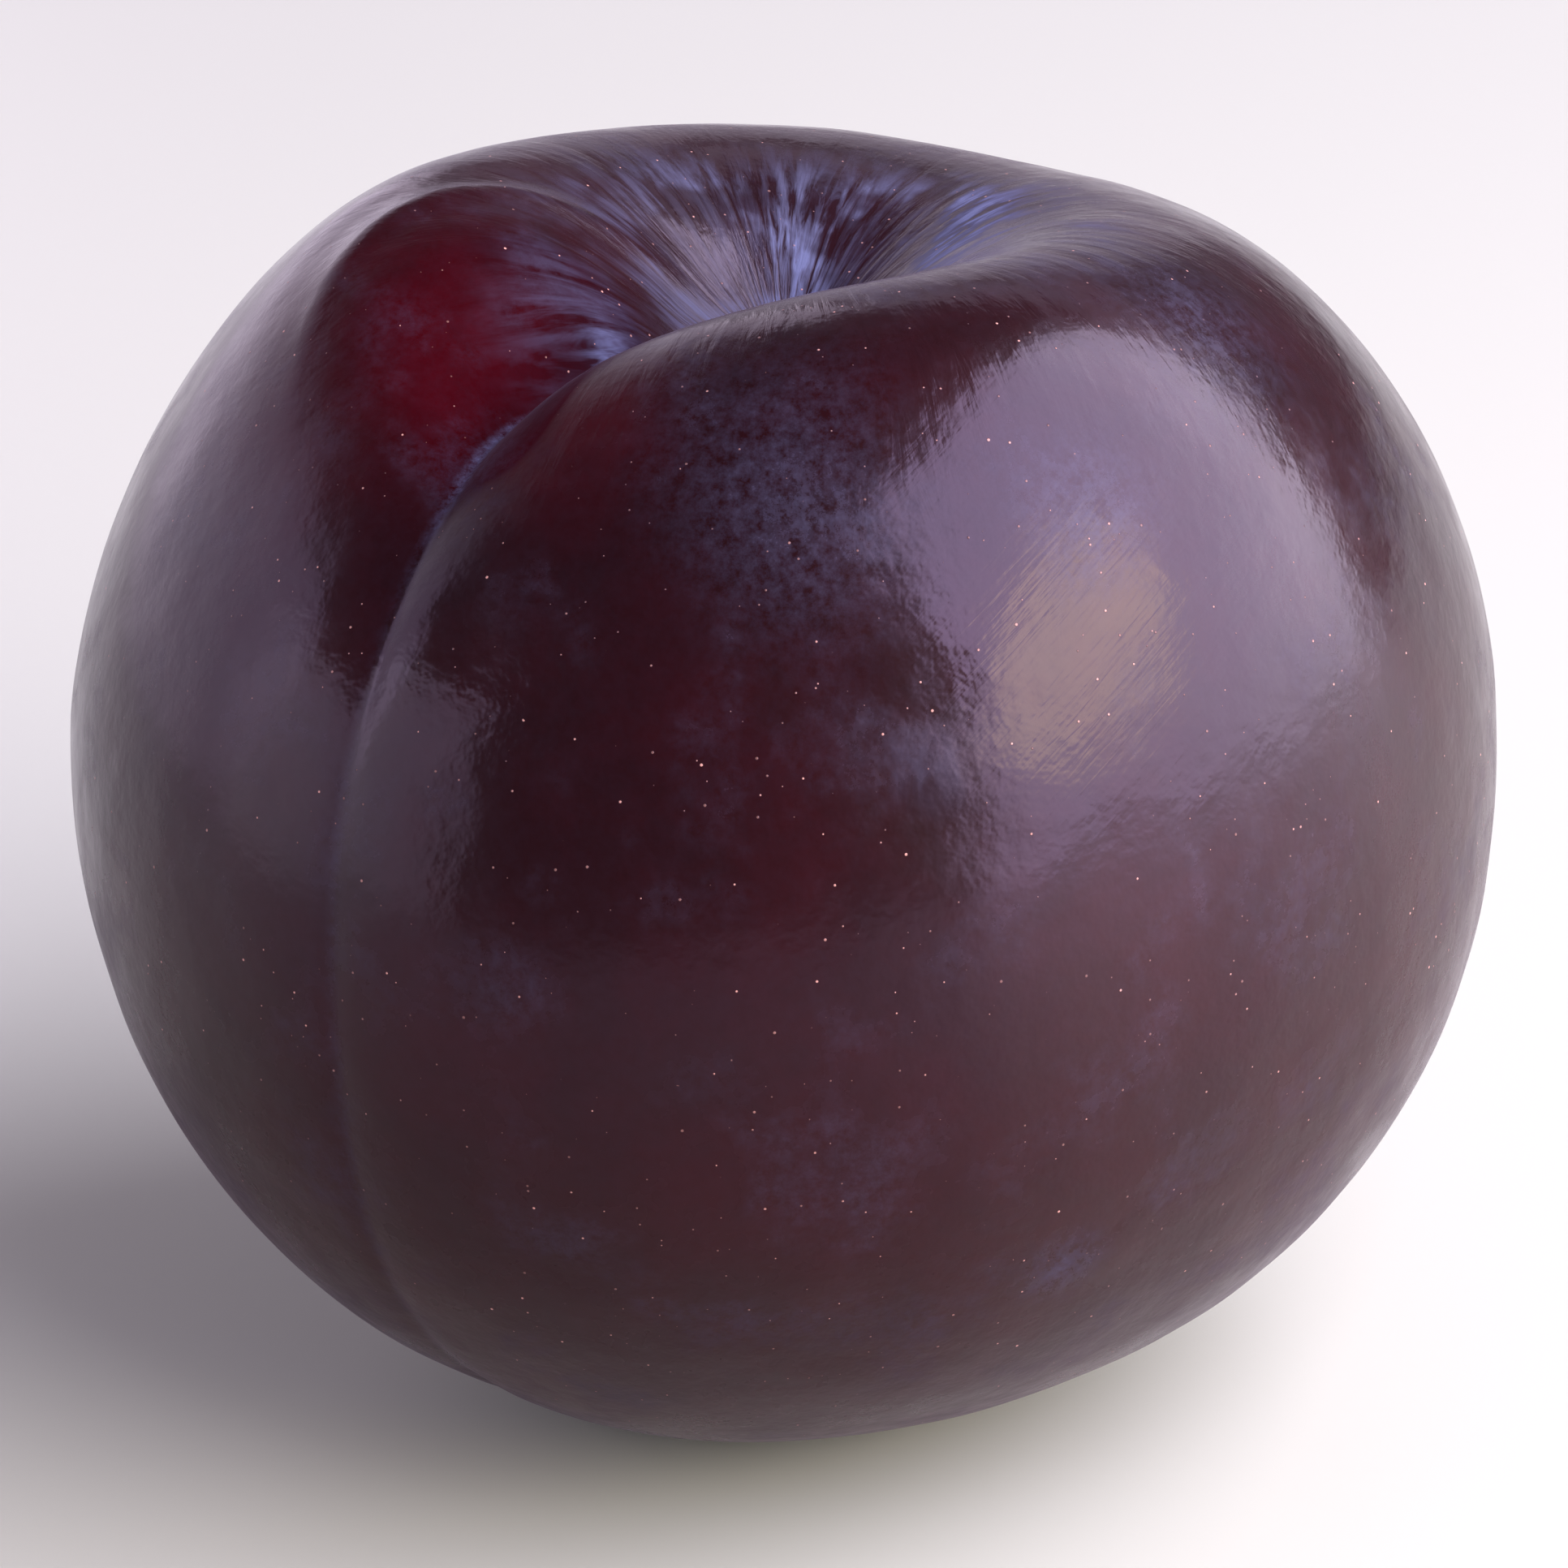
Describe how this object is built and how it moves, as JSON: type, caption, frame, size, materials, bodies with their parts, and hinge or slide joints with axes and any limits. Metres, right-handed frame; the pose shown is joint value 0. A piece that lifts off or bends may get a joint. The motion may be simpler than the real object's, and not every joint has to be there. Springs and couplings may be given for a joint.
{
  "type": "plum",
  "caption": "Whole dark purple-red plum with a deep stem hollow, lobed shoulders and a seam groove down its front, resting on a small flat spot.",
  "frame": {"origin": "middle of the fruit's outline seen from above, at the height of the flat spot it rests on", "axes": "+Z from the blossom end up to the stem end, -Y towards the seam groove, +X to the right of the groove as seen from the front"},
  "size_m": [0.062, 0.0662, 0.057],
  "materials": {
    "plum_skin": "dark purple-red skin, glossy under a thin grey-blue wax bloom, with fine pale dots"
  },
  "bodies": {
    "root": {"plum": "plum_skin"}
  },
  "joints": []
}
